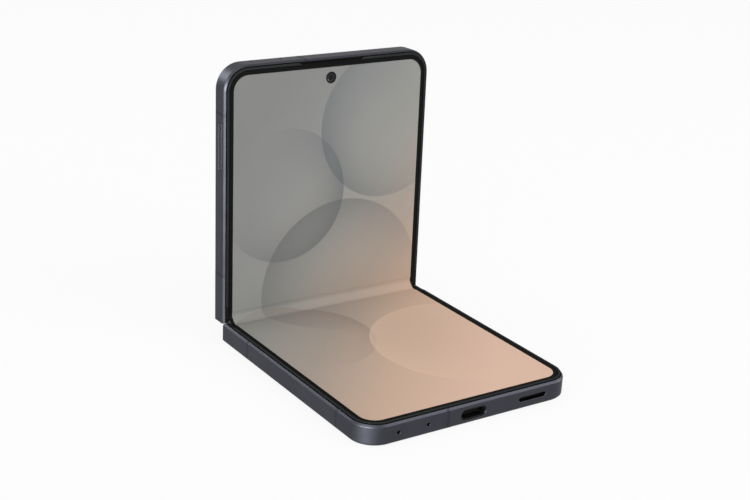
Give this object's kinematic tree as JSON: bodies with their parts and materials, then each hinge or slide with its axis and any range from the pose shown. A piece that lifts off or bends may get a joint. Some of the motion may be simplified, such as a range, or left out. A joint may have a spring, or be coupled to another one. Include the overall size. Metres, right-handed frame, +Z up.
{
  "type": "foldable smartphone",
  "caption": "Clamshell smartphone, half open on a geared double hinge, with a folding screen over both halves, a card tray and side keys that press.",
  "frame": {"origin": "centre of the lower half's back face, which lies on the table", "axes": "+X to the phone's right, +Y from the free end of the lower half to the fold, +Z up out of the lower screen"},
  "size_m": [0.0755, 0.0915, 0.0892],
  "materials": {
    "frame_metal": "fine matte anodised dark grey",
    "break_plastic": "matte, a shade off the frame",
    "back_glass": "satin dark grey glass",
    "cover_glass": "gloss black glass",
    "bezel_plastic": "matte dark grey",
    "cap_rubber": "soft matte black",
    "screen": "gloss, lit picture with a black border",
    "dark_panel": "dark panel",
    "steel": "bare",
    "brass": "bare",
    "battery_foil": "dark foil pouch",
    "board_green": "solder mask",
    "black_plastic": "moulded",
    "lens_glass": "coated dark glass",
    "flash_window": "ribbed clear",
    "card_plastic": "plain",
    "flex_film": "polyimide film",
    "hinge_metal": "fine matte dark grey"
  },
  "bodies": {
    "lower_half": {"lower_frame": "frame_metal", "lower_antenna_breaks": "break_plastic", "lower_back_glass": "back_glass", "lower_bezel": "bezel_plastic", "display_lower": "screen", "lower_display_plate": "steel", "lower_battery": "battery_foil", "sub_board": "board_green", "usb_c_port": "steel", "loudspeaker": "black_plastic", "speaker_mesh": "black_plastic", "bottom_microphones": "steel", "vibration_motor": "steel", "charging_coil": "brass", "lower_mid_cover": "black_plastic", "lower_screws": "steel", "lower_magnets": "steel", "hinge_leaf_lower": "steel", "lower_fold_caps": "cap_rubber"},
    "hinge": {"hinge_cover": "hinge_metal", "hinge_end_caps": "black_plastic", "hinge_blocks": "steel", "hinge_pins": "steel", "idler_pins": "steel", "friction_discs": "steel", "display_fold": "screen", "hinge_flex_cables": "flex_film", "hinge_screws": "steel"},
    "idler_lower": {"idler_gears_lower": "brass"},
    "idler_upper": {"idler_gears_upper": "brass"},
    "upper_half": {"upper_frame": "frame_metal", "upper_antenna_breaks": "break_plastic", "cover_glass": "cover_glass", "cover_display": "dark_panel", "upper_bezel": "bezel_plastic", "display_upper": "screen", "upper_display_plate": "steel", "upper_battery": "battery_foil", "main_board": "board_green", "board_shields": "steel", "camera_rings": "frame_metal", "camera_lenses": "lens_glass", "rear_cameras": "black_plastic", "flash_lens": "flash_window", "front_camera": "black_plastic", "earpiece_speaker": "black_plastic", "earpiece_mesh": "black_plastic", "top_microphones": "steel", "sim_reader": "steel", "key_switches": "flex_film", "upper_screws": "steel", "upper_magnets": "steel", "hinge_leaf_upper": "steel", "upper_fold_caps": "cap_rubber"},
    "sim_tray": {"sim_tray": "frame_metal", "sim_card": "card_plastic"},
    "volume_key": {"volume_key": "frame_metal"},
    "power_key": {"power_key": "frame_metal"}
  },
  "joints": [
    {"name": "fold_lower", "type": "hinge", "parent": "lower_half", "child": "hinge", "pos_m": [0, 0.04007, 0.00525], "axis": [1, 0, 0], "range_deg": [-44.5, 45.5], "deforming": ["display_fold", "hinge_flex_cables"]},
    {"name": "fold_upper", "type": "hinge", "parent": "hinge", "child": "upper_half", "pos_m": [0, 0.04236, 0.00749], "axis": [1, 0, 0], "range_deg": [-44.5, 45.5]},
    {"name": "idler_lower_turn", "type": "hinge", "parent": "hinge", "child": "idler_lower", "pos_m": [0, 0.04155, 0.00432], "axis": [1, 0, 0], "range_deg": [-21, 21]},
    {"name": "idler_upper_turn", "type": "hinge", "parent": "hinge", "child": "idler_upper", "pos_m": [0, 0.04327, 0.006], "axis": [1, 0, 0], "range_deg": [-21, 21]},
    {"name": "tray_slide", "type": "slide", "parent": "upper_half", "child": "sim_tray", "axis": [-1, 0, 0], "range_m": [0, 0.0205]},
    {"name": "volume_rock", "type": "hinge", "parent": "upper_half", "child": "volume_key", "pos_m": [0.03525, 0.04529, 0.06385], "axis": [0, 0.9998, -0.0175], "range_deg": [-1.6, 1.6], "stiffness_Nm_per_rad": 0.3},
    {"name": "power_press", "type": "slide", "parent": "upper_half", "child": "power_key", "axis": [-1, 0, 0], "range_m": [0, 0.00025], "stiffness_N_per_m": 3000}
  ],
  "couplings": [
    {"joint": "fold_upper", "follows": "fold_lower", "ratio": 1},
    {"joint": "idler_lower_turn", "follows": "fold_lower", "ratio": 0.45833},
    {"joint": "idler_upper_turn", "follows": "fold_lower", "ratio": -0.45833}
  ]
}
